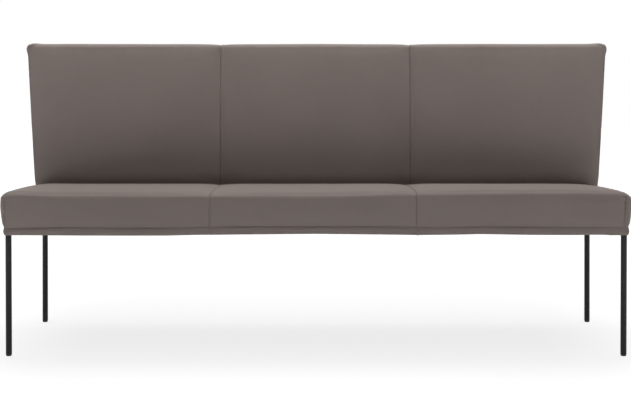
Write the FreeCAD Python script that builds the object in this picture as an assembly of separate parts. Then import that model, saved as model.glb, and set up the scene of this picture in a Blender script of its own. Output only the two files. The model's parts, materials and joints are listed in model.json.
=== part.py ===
import FreeCAD, Part
import math
import os

# A dining bench with a backrest, upholstered in leather, on four slim steel legs.
# Millimetres, +X along the bench, front towards -Y, +Z up, floor at Z = 0 under the
# middle of the bench. Depths are measured from the front of the seat with the function y().

# Overall sizes
corner_seam_spacing = 1810.0
overall_depth = 612.0
base_underside = 367.0
seat_thickness = 112.0
seat_drop = 7.0
back_rise = 453.0

# Leather and soft layers
leather = 1.6
fit = 0.3
end_fit = 0.6
hem_width = 72.0
seam_dip = 2.5
seat_end_dip = 4.5
back_end_dip = 7.0
seam_reach = 45.0

# Seat outline
seat_seam_spacing = 603.0
seat_end_bulge = 22.0
lip_end_bulge = 10.0
crease_depth = 11.0
front_edge_setback = 4.0
front_edge_radius = 24.0
rear_edge_radius = 14.0
seat_crown = 5.0
lip_bow = 5.0
end_rounding = 22.0
end_tuck = 20.0
crease_lap = 2.0

# Sections of a panel near a seam: share of the reach, and share of the dip there
seam_steps = ((0.0, 1.0), (0.2, 0.64), (0.45, 0.3), (1.0, 0.0))

# Sections of the crowned ends: share of the bulge, and share of the rounding there
seat_end_steps = ((0.0, 0.0), (0.55, 0.2), (0.87, 0.55), (1.0, 1.0))
lip_end_steps = ((0.0, 0.0), (0.6, 0.25), (1.0, 0.75))
back_end_steps = ((0.0, 0.0), (0.65, 0.8), (1.0, 2.6))

# Back outline
back_depth_at_seat = 167.0
back_recline = 10.2
back_rear_lean = 6.3
back_end_overhang = 7.0
back_flare = 4.05
back_seam_spacing = 622.0
back_top_radius = 26.0
back_front_crown = 4.0
back_top_crown = 2.0
back_rear_crown = 2.0
back_end_bulge = 5.0
back_to_seat_gap = 1.5

# Plywood base
base_thickness = 18.0
base_end_gap = 1.0
base_front_gap = 0.4
base_front_width = 80.0
base_rear_width = 152.0
base_end_width = 80.0

# Steel frame inside the seat
tube_width = 30.0
tube_height = 25.0
tube_wall = 2.0
rear_tube_gap = 6.0
frame_screw_diameter = 6.0
frame_screw_head = 12.0
frame_screw_head_height = 3.0
frame_screws_per_row = 5

# Springs and felt
spring_wire = 3.6
spring_bar = 50.0
spring_pitch = 38.0
springs_per_bay = 4
clip_sheet = 1.2
clip_length = 30.0
clip_width = 16.0
felt_thickness = 3.0

# Back frame
gable_thickness = 18.0
front_padding_thickness = 48.0
rear_padding_thickness = 13.0
end_padding_thickness = 12.0
webbing_thickness = 2.0
webbing_width = 60.0
straps_per_bay = 3
strap_margin = 8.0
board_thickness = 3.0
top_foam_thickness = 14.0
top_rail_height = 60.0
lower_rail_height = 60.0
lower_rail_thickness = 18.0
lower_rail_rise = 30.0

# Brackets of the back
bracket_sheet = 4.0
bracket_height = 52.0
bracket_depth = 40.0
bracket_foot = 40.0
bracket_screw_reach = 26.0
bolt_diameter = 6.0
bolt_head_width = 10.0
bolt_head_height = 4.0
nut_height = 5.0
bolt_spacing = 28.0
bolt_end = 2.0
hole_play = 0.4
gable_screw_diameter = 5.0
gable_screw_grip = 45.0
gable_screw_spacing = 44.0
end_gable_screw_spacing = 28.0

# Legs
leg_diameter = 18.0
leg_wall = 2.0
leg_end_inset = 3.0
leg_splay = 8.0
front_leg_inset = 17.0
rear_leg_inset = 15.0
plate_size = 60.0
plate_thickness = 3.0
plate_margin = 2.0
plate_screw_diameter = 5.0
plate_screw_head = 10.0
plate_screw_head_height = 2.6
plate_screw_length = 17.0
plate_screw_inset = 11.0
glide_height = 5.0
glide_tip_diameter = 15.0
glide_stem_length = 16.0

# Dust cover
dust_cover_thickness = 0.6
dust_cover_margin = 12.0
dust_cover_clearance = 1.0

# Levels and lengths worked out from the sizes above
seat_front_height = base_underside + seat_thickness
seat_rear_height = seat_front_height - seat_drop
overall_height = seat_rear_height + back_rise
base_top = base_underside + base_thickness
skin_bottom = base_underside - leather
frame_top = base_top + tube_height
lower_rail_bottom = frame_top + lower_rail_rise
felt_bottom = frame_top + 2 * clip_sheet + spring_wire
foam_bottom = felt_bottom + felt_thickness
plate_bottom = skin_bottom - plate_thickness
half_corner = corner_seam_spacing / 2
half_base = half_corner - base_end_gap
half_back = half_corner + back_end_overhang
seat_seam = seat_seam_spacing / 2
back_seam = back_seam_spacing / 2
leg_x = half_corner - leg_end_inset
base_front_setback = crease_depth + leather + base_front_gap
back_front_at_seat = overall_depth - back_depth_at_seat
far = 4 * corner_seam_spacing
QUARTER = (math.sqrt(2) - 1) / 2

os.makedirs("parts", exist_ok=True)


def y(depth):
    """Y of a point that lies this far behind the front of the seat."""
    return depth - overall_depth / 2


def back_front(z):
    """Depth of the backrest's front face at a height."""
    return back_front_at_seat + (z - seat_rear_height) * math.tan(math.radians(back_recline))


def back_rear(z):
    """Depth of the backrest's rear face at a height."""
    rise = overall_height - back_top_radius - z
    return overall_depth - rise * math.tan(math.radians(back_rear_lean))


def flare():
    """Sideways run of the back's end seam for each unit of height."""
    return math.tan(math.radians(back_flare))


def back_half(z):
    """Half length of the backrest at its end seam, at a height."""
    return half_back + (z - seat_rear_height) * flare()


def box(x0, x1, depth0, depth1, z0, z1):
    corner = FreeCAD.Vector(x0, y(depth0), z0)
    return Part.makeBox(x1 - x0, depth1 - depth0, z1 - z0, corner)


def prism(outline, x0, x1):
    """A flat outline of (depth, height) corners, drawn out along the bench."""
    corners = [FreeCAD.Vector(x0, y(depth), z) for depth, z in outline]
    face = Part.Face(Part.makePolygon(corners + corners[:1]))
    return face.extrude(FreeCAD.Vector(x1 - x0, 0, 0))


def rod(x, depth, z0, z1, diameter):
    """An upright round bar."""
    return Part.makeCylinder(diameter / 2, z1 - z0, FreeCAD.Vector(x, y(depth), z0))


def cross_rod(x0, x1, depth, z, diameter):
    """A round bar that lies along the bench."""
    start = FreeCAD.Vector(x0, y(depth), z)
    return Part.makeCylinder(diameter / 2, x1 - x0, start, FreeCAD.Vector(1, 0, 0))


def hexagon(x0, x1, depth, z, across):
    """A hexagonal bolt head or nut along the bench, across its flats."""
    radius = across / math.sqrt(3)
    outline = []
    for side in range(6):
        angle = math.radians(60 * side)
        outline.append((depth + radius * math.cos(angle), z + radius * math.sin(angle)))
    return prism(outline, x0, x1)


def mirrored(shape):
    return shape.mirror(FreeCAD.Vector(0, 0, 0), FreeCAD.Vector(1, 0, 0))


def save(name, shapes):
    """Writes one node: a solid, or a group of separate solids."""
    solids = []
    for shape in shapes:
        solids += shape.Solids
    whole = solids[0] if len(solids) == 1 else Part.makeCompound(solids)
    whole.exportStep("parts/" + name + ".step")


base_back = back_rear(base_underside) - rear_padding_thickness

# Sections of the soft pieces. A path is a list of (depth, height, bow) points. The bow is how
# far the stretch to the next point stands out from its chord, on the outer side.

def bowed_edge(start, end, bow, place):
    if bow == 0:
        return Part.LineSegment(place(*start), place(*end)).toShape()
    run = end[0] - start[0]
    rise = end[1] - start[1]
    length = math.hypot(run, rise)
    middle = ((start[0] + end[0]) / 2 - bow * rise / length,
              (start[1] + end[1]) / 2 + bow * run / length)
    return Part.Arc(place(*start), place(*middle), place(*end)).toShape()


def path_edges(path, place, backwards=False):
    edges = []
    for here, there in zip(path, path[1:]):
        start, end, bow = here[:2], there[:2], here[2]
        if backwards:
            start, end, bow = end, start, -bow
        edges.append(bowed_edge(start, end, bow, place))
    if backwards:
        edges.reverse()
    return edges


def at_x(x, slope=0.0):
    """Places a section on the plane at x, which may lean outwards with height."""
    def place(depth, z):
        return FreeCAD.Vector(x + slope * (z - seat_rear_height), y(depth), z)
    return place


def skin_section(outer, inner, place):
    """The outline of a bent sheet, between an outer and an inner path."""
    edges = path_edges(outer, place)
    edges.append(bowed_edge(outer[-1][:2], inner[-1][:2], 0, place))
    edges += path_edges(inner, place, backwards=True)
    edges.append(bowed_edge(inner[0][:2], outer[0][:2], 0, place))
    return Part.Wire(edges)


def core_section(path, place):
    """The outline of what fills a path, closed with a straight line."""
    edges = path_edges(path, place)
    edges.append(bowed_edge(path[-1][:2], path[0][:2], 0, place))
    return Part.Wire(edges)


def quarter_bow(start, end):
    """Bow of a quarter turn between two points."""
    return QUARTER * math.hypot(end[0] - start[0], end[1] - start[1])


def panel_stations(x0, dip0, x1, dip1):
    """Where a sewn panel has its sections, and how deep it is drawn in at each."""
    stations = [(x0 + run * seam_reach, share * dip0) for run, share in seam_steps]
    return stations + [(x1 - run * seam_reach, share * dip1) for run, share in reversed(seam_steps)]


# The seat's section, from the hem under the base, round the lip, up the front, over the top
# and down in front of the backrest.

def seat_path(inset, dip, draw=0.0):
    """The leather's section, or one inside it, drawn in above the lip where a seam dips.
    With draw the whole section above the lip is smaller, and its corners stay as round."""
    front = front_edge_setback + draw
    top = seat_front_height - draw
    crease = crease_depth + inset
    low = skin_bottom + inset
    rear_top = seat_rear_height - draw
    tail_top = rear_top - rear_edge_radius
    tail_gap = back_to_seat_gap + inset + dip + draw
    face_bow = (crease_depth + front_edge_setback) / 2
    corner = [(front + inset + dip, top - front_edge_radius),
              (front + front_edge_radius, top - inset - dip)]
    rear_corner = [(back_front_at_seat - tail_gap - rear_edge_radius, rear_top - inset - dip),
                   (back_front(tail_top) - tail_gap, tail_top)]
    return [(crease_depth + hem_width, low, 0),
            (crease, low, lip_bow),
            (crease, base_top, face_bow),
            corner[0] + (quarter_bow(*corner),),
            corner[1] + (seat_crown,),
            rear_corner[0] + (quarter_bow(*rear_corner),),
            rear_corner[1] + (0,),
            (back_front(frame_top) - tail_gap, frame_top, 0)]


def seat_panel(*ends):
    sections = []
    for x, dip in panel_stations(*ends):
        sections.append(skin_section(seat_path(0, dip), seat_path(leather, dip), at_x(x)))
    return Part.makeLoft(sections, True, True)


def seat_core(*ends):
    sections = []
    for x, dip in panel_stations(*ends):
        sections.append(core_section(seat_path(leather + fit, dip)[1:], at_x(x)))
    return Part.makeLoft(sections, True, True)


# The seat's ends are crowned: each section further out is smaller. The cushion's end and the
# lip's end are two such crowns with the crease between them.

def seat_end_path(skin, draw, tuck):
    path = seat_path(skin, seat_end_dip, draw)[2:-1]
    low = base_top - crease_lap + skin + tuck
    rear = back_front(low) - back_to_seat_gap - skin - seat_end_dip - draw
    return [(path[0][0] + draw, low, path[0][2])] + path[1:] + [(rear, low, 0)]


def lip_end_path(inset, squeeze):
    crease = crease_depth + inset
    low = skin_bottom + squeeze
    high = base_top - squeeze
    bow = lip_bow * (high - low) / (base_top - skin_bottom)
    rear = back_front(base_top) - back_to_seat_gap - inset
    return [(crease, low, bow), (crease, high, 0), (rear, high, 0), (rear, low, 0)]


def seat_end(skin):
    """Both crowns of the seat's end, as solids that lie this far inside the leather's surface."""
    reach = seat_end_bulge - skin
    domes = []
    for share, inset in seat_end_steps:
        path = seat_end_path(skin, inset * end_rounding, inset * end_tuck)
        domes.append(core_section(path, at_x(half_corner + share * reach)))
    lip_reach = lip_end_bulge - skin
    lips = []
    for share, inset in lip_end_steps:
        path = lip_end_path(skin + inset * lip_reach, skin + inset * lip_reach / 2)
        lips.append(core_section(path, at_x(half_corner + share * lip_reach)))
    return Part.makeLoft(domes, True, False), Part.makeLoft(lips, True, False)


# The back's section, from the base up the front, over the top and down the rear to the hem.

def back_path(inset, dip):
    """The leather's section, or one inside it, drawn in where a seam dips."""
    draw = inset + dip
    shoulder = overall_height - back_top_radius
    low = skin_bottom + inset
    foot = base_top + fit
    brow = overall_height - draw - back_top_crown
    front_corner = [(back_front(shoulder) + draw, shoulder),
                    (back_front(overall_height) + back_top_radius, brow)]
    rear_corner = [(overall_depth - back_top_radius, brow),
                   (overall_depth - draw, shoulder)]
    return [(back_front(foot) + draw, foot, 0),
            (back_front_at_seat + draw, seat_rear_height, back_front_crown),
            front_corner[0] + (quarter_bow(*front_corner),),
            front_corner[1] + (back_top_crown,),
            rear_corner[0] + (quarter_bow(*rear_corner),),
            rear_corner[1] + (back_rear_crown,),
            (back_rear(low) - inset, low, 0),
            (back_rear(low) - hem_width, low, 0)]


def back_stations(x0, dip0, slope0, x1, dip1, slope1):
    stations = []
    for x, dip in panel_stations(x0, dip0, x1, dip1):
        share = (x - x0) / (x1 - x0)
        stations.append((at_x(x, slope0 + share * (slope1 - slope0)), dip))
    return stations


def back_panel(stations):
    sections = []
    for place, dip in stations:
        sections.append(skin_section(back_path(0, dip), back_path(leather, dip), place))
    return Part.makeLoft(sections, True, True)


def back_core(stations):
    sections = []
    for place, dip in stations:
        sections.append(core_section(back_path(leather + fit, dip)[:-1], place))
    return Part.makeLoft(sections, True, True)


def back_end(skin):
    """The backrest's crowned end, as a solid this far inside the leather's surface."""
    reach = back_end_bulge - skin
    low = skin_bottom + skin
    domes = []
    for share, inset in back_end_steps:
        draw = inset * back_end_bulge
        path = back_path(skin + draw, back_end_dip)[:-2]
        front = (back_front(low) + skin + draw + back_end_dip, low, 0)
        rear = (back_rear(low) - skin - draw, low, 0)
        place = at_x(half_back + share * reach, flare())
        domes.append(core_section([front] + path[1:] + [rear], place))
    return Part.makeLoft(domes, True, False)


# Legs, their plates, screws and glides

def leg_places():
    places = {}
    for side, sign in (("left", -1), ("right", 1)):
        places["front_" + side] = (sign, base_front_setback + front_leg_inset, 1)
        places["rear_" + side] = (sign, base_back - rear_leg_inset, -1)
    return places


def leg_bar(sign, depth, diameter, z0, z1):
    """An oblique round bar along the leg's splayed axis."""
    slope = leg_splay / plate_bottom
    x_low = sign * (leg_x + slope * (plate_bottom - z0))
    circle = Part.Circle(FreeCAD.Vector(x_low, y(depth), z0), FreeCAD.Vector(0, 0, 1), diameter / 2)
    face = Part.Face(Part.Wire(circle.toShape()))
    return face.extrude(FreeCAD.Vector(-sign * slope * (z1 - z0), 0, z1 - z0))


def plate_box(sign, depth, inward, grow=0.0):
    """The leg's plate, with the leg standing under its outer corner."""
    outer = leg_x + leg_diameter / 2 + plate_margin
    edge = depth - inward * (leg_diameter / 2 + plate_margin)
    x_pair = sorted((sign * outer, sign * (outer - plate_size)))
    depth_pair = sorted((edge, edge + inward * plate_size))
    return box(x_pair[0] - grow, x_pair[1] + grow, depth_pair[0] - grow, depth_pair[1] + grow,
               plate_bottom, skin_bottom)


def plate_screw_spots(sign, depth, inward):
    """Three screws: at the plate's corners that the leg leaves free."""
    outer = leg_x + leg_diameter / 2 + plate_margin
    edge = depth - inward * (leg_diameter / 2 + plate_margin)
    inner_x = sign * (outer - plate_size + plate_screw_inset)
    outer_x = sign * (outer - 2 * plate_screw_inset)
    near = edge + inward * plate_screw_inset
    away = edge + inward * (plate_size - plate_screw_inset)
    return [(inner_x, near), (inner_x, away), (outer_x, away)]


plate_screws = []
plate_holes = []
plates_grown = []
for name, (sign, depth, inward) in leg_places().items():
    glide_top = glide_height + glide_stem_length
    tube = leg_bar(sign, depth, leg_diameter, glide_height, plate_bottom)
    tube = tube.cut(leg_bar(sign, depth, leg_diameter - 2 * leg_wall, glide_height, plate_bottom))
    save("leg_" + name, [tube])
    bore = leg_diameter - 2 * leg_wall
    stem = leg_bar(sign, depth, bore - 2 * fit, glide_height, glide_top)
    foot_x = sign * (leg_x + leg_splay)
    tip = Part.makeCone(glide_tip_diameter / 2, leg_diameter / 2, glide_height,
                        FreeCAD.Vector(foot_x, y(depth), 0))
    save("foot_glide_" + name, [tip.fuse(stem)])
    plate = plate_box(sign, depth, inward)
    plates_grown.append(plate_box(sign, depth, inward, grow=dust_cover_clearance))
    for x, spot in plate_screw_spots(sign, depth, inward):
        head = rod(x, spot, plate_bottom - plate_screw_head_height, plate_bottom, plate_screw_head)
        shank = rod(x, spot, plate_bottom, plate_bottom + plate_screw_length, plate_screw_diameter)
        plate_screws.append(head.fuse(shank))
        hole = rod(x, spot, plate_bottom, plate_bottom + plate_screw_length,
                   plate_screw_diameter + hole_play)
        plate_holes.append(hole)
        plate = plate.cut(hole)
    save("leg_plate_" + name, [plate])
save("leg_plate_screws", plate_screws)

# Steel frame: tubes along the front and rear, between them at the ends and under the seams

rear_tube_edge = back_front(base_top) - rear_tube_gap
rear_tube_front = rear_tube_edge - tube_width
front_tube_edge = base_front_setback + tube_width
frame_x = (-half_base + tube_width / 2, -seat_seam, seat_seam, half_base - tube_width / 2)


def long_tube(depth):
    outside = box(-half_base, half_base, depth, depth + tube_width, base_top, frame_top)
    inside = box(-half_base, half_base, depth + tube_wall, depth + tube_width - tube_wall,
                 base_top + tube_wall, frame_top - tube_wall)
    return outside.cut(inside)


def cross_tube(x):
    half = tube_width / 2
    outside = box(x - half, x + half, front_tube_edge, rear_tube_front, base_top, frame_top)
    inside = box(x - half + tube_wall, x + half - tube_wall, front_tube_edge, rear_tube_front,
                 base_top + tube_wall, frame_top - tube_wall)
    return outside.cut(inside)


frame_screws = []
frame_holes = []
screw_pitch = (2 * half_base - 4 * tube_width) / (frame_screws_per_row - 1)
for depth in (base_front_setback + tube_width / 2, rear_tube_front + tube_width / 2):
    for number in range(frame_screws_per_row):
        x = -half_base + 2 * tube_width + number * screw_pitch
        head_top = base_underside + frame_screw_head_height
        tip = base_top + 2 * tube_wall
        head = rod(x, depth, base_underside, head_top, frame_screw_head)
        frame_screws.append(head.fuse(rod(x, depth, head_top, tip, frame_screw_diameter)))
        sink = rod(x, depth, base_underside, head_top, frame_screw_head + hole_play)
        frame_holes.append(sink.fuse(rod(x, depth, head_top, tip, frame_screw_diameter + hole_play)))
save("frame_screws", frame_screws)
save("frame_front_tube", [long_tube(base_front_setback).cut(frame_holes)])
save("frame_rear_tube", [long_tube(rear_tube_front).cut(frame_holes)])
for name, x in zip(("end_tube_left", "cross_tube_left", "cross_tube_right", "end_tube_right"), frame_x):
    save("frame_" + name, [cross_tube(x)])

# Plywood base under the frame, which the leather is pulled round

base_inner_front = base_front_setback + base_front_width
base_inner_rear = base_back - base_rear_width


def base_strip(x0, x1, depth0, depth1):
    return box(x0, x1, depth0, depth1, base_underside, base_top).cut(frame_holes + plate_holes)


save("base_front_strip", [base_strip(-half_base, half_base, base_front_setback, base_inner_front)])
base_end_inner = half_base - base_end_width
save("base_end_strip_left", [base_strip(-half_base, -base_end_inner, base_inner_front, base_inner_rear)])
save("base_end_strip_right", [base_strip(base_end_inner, half_base, base_inner_front, base_inner_rear)])

# Springs: one wire each, bent to bars across and half turns, held in clips on the tubes

spring_level = frame_top + clip_sheet + spring_wire / 2
spring_front = base_front_setback + tube_width / 2
spring_rear = rear_tube_front + tube_width / 2
spring_bars = round((spring_rear - spring_front) / spring_pitch) + 1
spring_step = (spring_rear - spring_front) / (spring_bars - 1)


def spring_wire_path(x):
    """Bars across the spring, joined by half turns at alternate ends."""
    edges = []
    half = spring_bar / 2
    for bar in range(spring_bars):
        way = 1 if bar % 2 == 0 else -1
        depth = spring_front + bar * spring_step
        start = FreeCAD.Vector(x - way * half, y(depth), spring_level)
        end = FreeCAD.Vector(x + way * half, y(depth), spring_level)
        edges.append(Part.LineSegment(start, end).toShape())
        if bar < spring_bars - 1:
            turn = FreeCAD.Vector(x + way * (half + spring_step / 2), y(depth + spring_step / 2),
                                  spring_level)
            after = FreeCAD.Vector(x + way * half, y(depth + spring_step), spring_level)
            edges.append(Part.Arc(end, turn, after).toShape())
    return Part.Wire(edges)


def spring(x):
    path = spring_wire_path(x)
    start = FreeCAD.Vector(x - spring_bar / 2, y(spring_front), spring_level)
    ring = Part.Wire(Part.Circle(start, FreeCAD.Vector(1, 0, 0), spring_wire / 2).toShape())
    return path.makePipeShell([ring], True, False)


def spring_clip(x, depth, way):
    """A folded steel clip, open towards the middle of the seat, with the wire's bar inside it."""
    near = depth - way * (spring_wire / 2 + clip_sheet)
    far_side = near + way * clip_width
    span = sorted((near, far_side))
    wall = sorted((near, near + way * clip_sheet))
    half = clip_length / 2
    sole = box(x - half, x + half, span[0], span[1], frame_top, frame_top + clip_sheet)
    web = box(x - half, x + half, wall[0], wall[1], frame_top, felt_bottom)
    roof = box(x - half, x + half, span[0], span[1], felt_bottom - clip_sheet, felt_bottom)
    return sole.fuse([web, roof])


springs = []
clips = []
for left, right in zip(frame_x, frame_x[1:]):
    pitch = (right - left) / springs_per_bay
    for number in range(springs_per_bay):
        x = left + (number + 0.5) * pitch
        springs.append(spring(x))
        clips.append(spring_clip(x, spring_front, 1))
        clips.append(spring_clip(x, spring_rear, -1))
save("seat_springs", springs)
save("spring_clips", clips)
felt_rear = back_front(felt_bottom) - back_to_seat_gap - seat_end_dip - leather - 2 * fit
save("seat_felt", [box(-half_base, half_base, base_front_setback, felt_rear, felt_bottom, foam_bottom)])

# Seat foam and leather

seat_panels = {"left": (-half_corner, seat_end_dip, -seat_seam, seam_dip),
               "centre": (-seat_seam, seam_dip, seat_seam, seam_dip),
               "right": (seat_seam, seam_dip, half_corner, seat_end_dip)}
whole_core = [seat_core(*ends) for ends in seat_panels.values()]
core = whole_core[0].fuse(whole_core[1:])
save("seat_foam", [core.common(box(-far, far, -far, far, foam_bottom, far))])
face_slab = box(-far, far, -far, base_front_setback, base_top, foam_bottom)
lip_slab = box(-far, far, -far, base_front_setback, base_underside, base_top)
save("seat_front_foam", [core.common(face_slab), core.common(lip_slab)])

for name, ends in seat_panels.items():
    save("seat_cover_" + name, [seat_panel(*ends).cut(plate_holes)])

upper, lip = seat_end(0.0)
upper_inside, lip_inside = seat_end(leather)
upper_foam, lip_foam = seat_end(leather + end_fit)
hem_inner_x = half_base - hem_width
hem_front = crease_depth + hem_width + fit
hem_split = back_front(skin_bottom) - back_to_seat_gap
hem_rear = back_rear(skin_bottom) - hem_width - fit
seat_hem = box(hem_inner_x, half_corner, hem_front, hem_split, skin_bottom, base_underside)
end_panel = upper.fuse(lip).cut([upper_inside, lip_inside]).fuse(seat_hem)
save("seat_end_panel_right", [end_panel])
save("seat_end_panel_left", [mirrored(end_panel)])
end_foam = upper_foam.fuse(lip_foam)
save("seat_end_foam_right", [end_foam])
save("seat_end_foam_left", [mirrored(end_foam)])

# Back frame: gables on the base, a rail on their tops, a lower rail let into them

rail_top = overall_height - leather - seam_dip - fit - top_foam_thickness
gable_top = rail_top - top_rail_height


def frame_front(z):
    return back_front(z) + front_padding_thickness


def frame_rear(z):
    return back_rear(z) - rear_padding_thickness


lower_rail_top = lower_rail_bottom + lower_rail_height
rail_outline = [(frame_front(lower_rail_bottom), lower_rail_bottom),
                (frame_front(lower_rail_top), lower_rail_top),
                (frame_front(lower_rail_top) + lower_rail_thickness, lower_rail_top),
                (frame_front(lower_rail_bottom) + lower_rail_thickness, lower_rail_bottom)]
top_rail_outline = [(frame_front(gable_top), gable_top), (frame_front(rail_top), rail_top),
                    (frame_rear(rail_top), rail_top), (frame_rear(gable_top), gable_top)]
gable_outline = [(frame_front(base_top), base_top), (frame_front(gable_top), gable_top),
                 (frame_rear(gable_top), gable_top), (frame_rear(base_top), base_top)]


def slanted_prism(outline, x_at, thickness):
    """An outline on the leaning plane of the back's end, drawn out sideways."""
    corners = [FreeCAD.Vector(x_at(z), y(depth), z) for depth, z in outline]
    face = Part.Face(Part.makePolygon(corners + corners[:1]))
    return face.extrude(FreeCAD.Vector(thickness, 0, 0))


def end_gable_x(z):
    return back_half(z) - end_padding_thickness - gable_thickness


def back_trapezoid(margin, z0, z1):
    """Everything between the leaning ends of the back, less a margin at each end."""
    corners = []
    for side, z in ((-1, z0), (1, z0), (1, z1), (-1, z1)):
        corners.append(FreeCAD.Vector(side * (back_half(z) - margin), -far, z))
    face = Part.Face(Part.makePolygon(corners + corners[:1]))
    return face.extrude(FreeCAD.Vector(0, 2 * far, 0))


# Each inner gable stands between two angle brackets, with bolts through all three

bracket_middle = frame_front(base_top) + (frame_rear(base_top) - frame_front(base_top)) / 2
bracket_front = bracket_middle - bracket_depth / 2
bolt_level = base_top + bracket_height / 2
grip = gable_thickness / 2 + bracket_sheet
brackets = []
bracket_bolts = []
bracket_nuts = []
bracket_screws = []
bolt_holes = []
base_holes = []


def bracket(x, side):
    """An angle on one side of a gable, with its foot on the base."""
    face = x + side * gable_thickness / 2
    wall = sorted((face, face + side * bracket_sheet))
    toe = sorted((face, face + side * bracket_foot))
    upright = box(wall[0], wall[1], bracket_front, bracket_front + bracket_depth,
                  base_top, base_top + bracket_height)
    sole = box(toe[0], toe[1], bracket_front, bracket_front + bracket_depth,
               base_top, base_top + bracket_sheet)
    return upright.fuse(sole)


inner_gable_x = {"left": -back_seam, "right": back_seam}
for x in inner_gable_x.values():
    for shift in (-bolt_spacing / 2, bolt_spacing / 2):
        depth = bracket_middle + shift
        shank_end = x + grip + nut_height + bolt_end
        head = hexagon(x - grip - bolt_head_height, x - grip, depth, bolt_level, bolt_head_width)
        shank = cross_rod(x - grip, shank_end, depth, bolt_level, bolt_diameter)
        bracket_bolts.append(head.fuse(shank))
        hole = cross_rod(x - grip, shank_end, depth, bolt_level, bolt_diameter + hole_play)
        nut = hexagon(x + grip, x + grip + nut_height, depth, bolt_level, bolt_head_width)
        bracket_nuts.append(nut.cut(hole))
        bolt_holes.append(hole)
    for side in (-1, 1):
        foot_x = x + side * (gable_thickness / 2 + bracket_screw_reach)
        foot_top = base_top + bracket_sheet
        angle = bracket(x, side)
        for shift in (-bolt_spacing / 2, bolt_spacing / 2):
            depth = bracket_middle + shift
            low = base_top - base_thickness / 2
            head = rod(foot_x, depth, foot_top, foot_top + bolt_head_height, bolt_head_width)
            bracket_screws.append(head.fuse(rod(foot_x, depth, low, foot_top, bolt_diameter)))
            base_holes.append(rod(foot_x, depth, low, foot_top, bolt_diameter + hole_play))
        brackets.append(angle.cut(bolt_holes + base_holes))
save("back_brackets", brackets)
save("bracket_bolts", bracket_bolts)
save("bracket_nuts", bracket_nuts)
save("bracket_screws", bracket_screws)

# Screws from below through the base into the foot of every gable

end_gable_middle = end_gable_x(base_top) + gable_thickness / 2
gable_screws = []
gable_holes = []
gable_screw_rows = [(x, gable_screw_spacing) for x in inner_gable_x.values()]
for side in (-1, 1):
    gable_screw_rows.append((side * end_gable_middle, end_gable_screw_spacing))
for x, spacing in gable_screw_rows:
    for depth in (bracket_middle - spacing / 2, bracket_middle + spacing / 2):
        head_top = base_underside + frame_screw_head_height
        tip = base_top + gable_screw_grip
        head = rod(x, depth, base_underside, head_top, frame_screw_head)
        gable_screws.append(head.fuse(rod(x, depth, head_top, tip, gable_screw_diameter)))
        sink = rod(x, depth, base_underside, head_top, frame_screw_head + hole_play)
        gable_holes.append(sink.fuse(rod(x, depth, head_top, tip, gable_screw_diameter + hole_play)))
save("gable_screws", gable_screws)
rear_strip = base_strip(-half_base, half_base, base_inner_rear, base_back)
save("base_rear_strip", [rear_strip.cut(base_holes + gable_holes)])

lower_rail_half = end_gable_x(lower_rail_bottom) + gable_thickness
lower_rail = prism(rail_outline, -lower_rail_half, lower_rail_half)
save("back_lower_rail", [lower_rail])
top_rail_half = back_half(gable_top) - end_padding_thickness
save("back_top_rail", [prism(top_rail_outline, -top_rail_half, top_rail_half)])
for name, x in inner_gable_x.items():
    gable = prism(gable_outline, x - gable_thickness / 2, x + gable_thickness / 2)
    save("back_gable_inner_" + name, [gable.cut([lower_rail] + bolt_holes + gable_holes)])
end_gable = slanted_prism(gable_outline, end_gable_x, gable_thickness)
end_gable = end_gable.cut([lower_rail] + gable_holes)
save("back_gable_end_right", [end_gable])
save("back_gable_end_left", [mirrored(end_gable)])

# Elastic straps up the front of the frame, and a thin board on its rear

strap_low = lower_rail_bottom + strap_margin
strap_high = rail_top - strap_margin
strap_outline = [(frame_front(strap_low) - webbing_thickness, strap_low),
                 (frame_front(strap_high) - webbing_thickness, strap_high),
                 (frame_front(strap_high), strap_high), (frame_front(strap_low), strap_low)]
bays = (-end_gable_x(base_top), inner_gable_x["left"], inner_gable_x["right"], end_gable_x(base_top))
straps = []
for left, right in zip(bays, bays[1:]):
    pitch = (right - left) / straps_per_bay
    for number in range(straps_per_bay):
        x = left + (number + 0.5) * pitch
        straps.append(prism(strap_outline, x - webbing_width / 2, x + webbing_width / 2))
save("back_webbing", straps)
board_outline = [(frame_rear(base_top), base_top), (frame_rear(rail_top), rail_top),
                 (frame_rear(rail_top) + board_thickness, rail_top),
                 (frame_rear(base_top) + board_thickness, base_top)]
board = prism(board_outline, -far, far)
save("back_board", [board.common(back_trapezoid(end_padding_thickness, base_top, rail_top))])

# Back foam, pads and leather

back_panels = {"left": (-half_back, back_end_dip, -flare(), -back_seam, seam_dip, 0.0),
               "centre": (-back_seam, seam_dip, 0.0, back_seam, seam_dip, 0.0),
               "right": (back_seam, seam_dip, 0.0, half_back, back_end_dip, flare())}
stuffing = [back_core(back_stations(*ends)) for ends in back_panels.values()]
stuffing = stuffing[0].fuse(stuffing[1:])


def behind(line, z0, z1, reach):
    """Everything on one side of a sloping line, between two heights."""
    outline = [(line(z0), z0), (line(z1), z1), (line(z1) + reach, z1), (line(z0) + reach, z0)]
    return prism(outline, -far, far)


def strap_face(z):
    return frame_front(z) - webbing_thickness


def board_face(z):
    return frame_rear(z) + board_thickness


save("back_foam", [stuffing.common(behind(strap_face, base_top, rail_top, -overall_depth))])
save("back_rear_pad", [stuffing.common(behind(board_face, base_top, rail_top, overall_depth))])
save("back_top_foam", [stuffing.common(box(-far, far, -far, far, rail_top, far))])
for name, ends in back_panels.items():
    panel = back_panel(back_stations(*ends))
    save("back_cover_" + name, [panel.cut(plate_holes)])

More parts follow.
